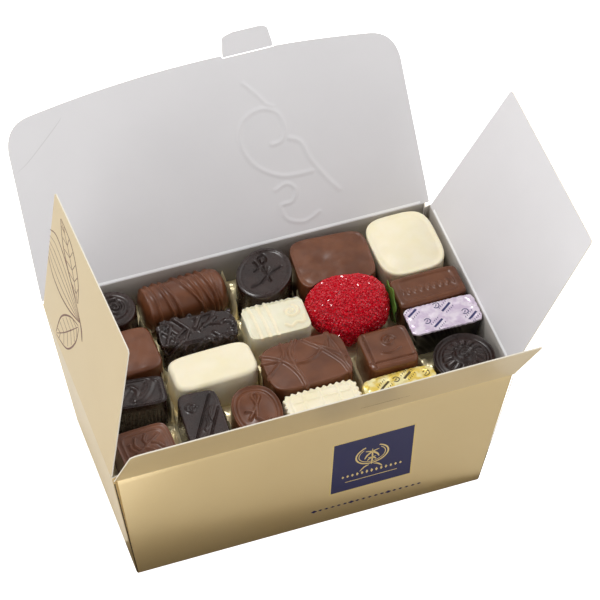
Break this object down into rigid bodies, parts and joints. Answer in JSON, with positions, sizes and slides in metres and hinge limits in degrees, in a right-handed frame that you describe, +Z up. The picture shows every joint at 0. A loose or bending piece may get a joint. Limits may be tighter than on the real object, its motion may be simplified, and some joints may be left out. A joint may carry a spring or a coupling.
{
  "type": "open box of chocolate pralines",
  "caption": "Open gold folding-card box with a lid and three flaps, filled to the rim with moulded milk, dark and white chocolate pralines.",
  "frame": {"origin": "middle of the tray's underside", "axes": "+Z up, +X along the box's length to its right, -Y towards the front wall with the label"},
  "size_m": [0.2316, 0.2066, 0.1657],
  "materials": {
    "gold_card": "folding board, gold printed outside and white inside",
    "milk_chocolate": "satin moulded chocolate",
    "dark_chocolate": "satin moulded chocolate",
    "white_chocolate": "satin moulded chocolate",
    "gold_sheet": "crumpled metallised sheet",
    "lilac_foil": "printed confectionery foil",
    "yellow_foil": "printed confectionery foil",
    "red_sugar": "sugar crystals over a red sweet",
    "green_leaf": "satin green sugar leaf"
  },
  "bodies": {
    "tray": {"carton_tray": "gold_card", "gold_sheet": "gold_sheet", "milk_plain": "milk_chocolate", "milk_relief": "milk_chocolate", "milk_log": "milk_chocolate", "milk_egg": "milk_chocolate", "milk_arcs": "milk_chocolate", "milk_dimple": "milk_chocolate", "milk_frame": "milk_chocolate", "milk_bar": "milk_chocolate", "dark_disc": "dark_chocolate", "dark_scroll": "dark_chocolate", "dark_bark": "dark_chocolate", "dark_band": "dark_chocolate", "dark_oval": "dark_chocolate", "dark_petals": "dark_chocolate", "ivory_bar": "white_chocolate", "white_block": "white_chocolate", "ivory_waffle": "white_chocolate", "ivory_pillow": "white_chocolate", "lilac_foil": "lilac_foil", "yellow_foil": "yellow_foil", "red_sweet": "red_sugar", "sweet_leaf": "green_leaf"},
    "lid": {"lid": "gold_card"},
    "tab": {"tuck_tab": "gold_card"},
    "left_flap": {"left_flap": "gold_card"},
    "right_flap": {"right_flap": "gold_card"},
    "front_flap": {"front_flap": "gold_card"}
  },
  "joints": [
    {"name": "lid_crease", "type": "hinge", "parent": "tray", "child": "lid", "pos_m": [0, 0.0567, 0.0844], "axis": [-1, 0, 0], "range_deg": [-42, 102]},
    {"name": "tab_crease", "type": "hinge", "parent": "lid", "child": "tab", "pos_m": [0.0247, 0.11346, 0.15705], "axis": [1, 0, 0], "range_deg": [-10, 100]},
    {"name": "left_crease", "type": "hinge", "parent": "tray", "child": "left_flap", "pos_m": [-0.0972, 0, 0.0844], "axis": [0, -1, 0], "range_deg": [-76, 157]},
    {"name": "right_crease", "type": "hinge", "parent": "tray", "child": "right_flap", "pos_m": [0.0972, 0, 0.0844], "axis": [0, 1, 0], "range_deg": [-100, 122]},
    {"name": "front_crease", "type": "hinge", "parent": "tray", "child": "front_flap", "pos_m": [0, -0.0567, 0.0844], "axis": [1, 0, 0], "range_deg": [-33, 118]}
  ]
}
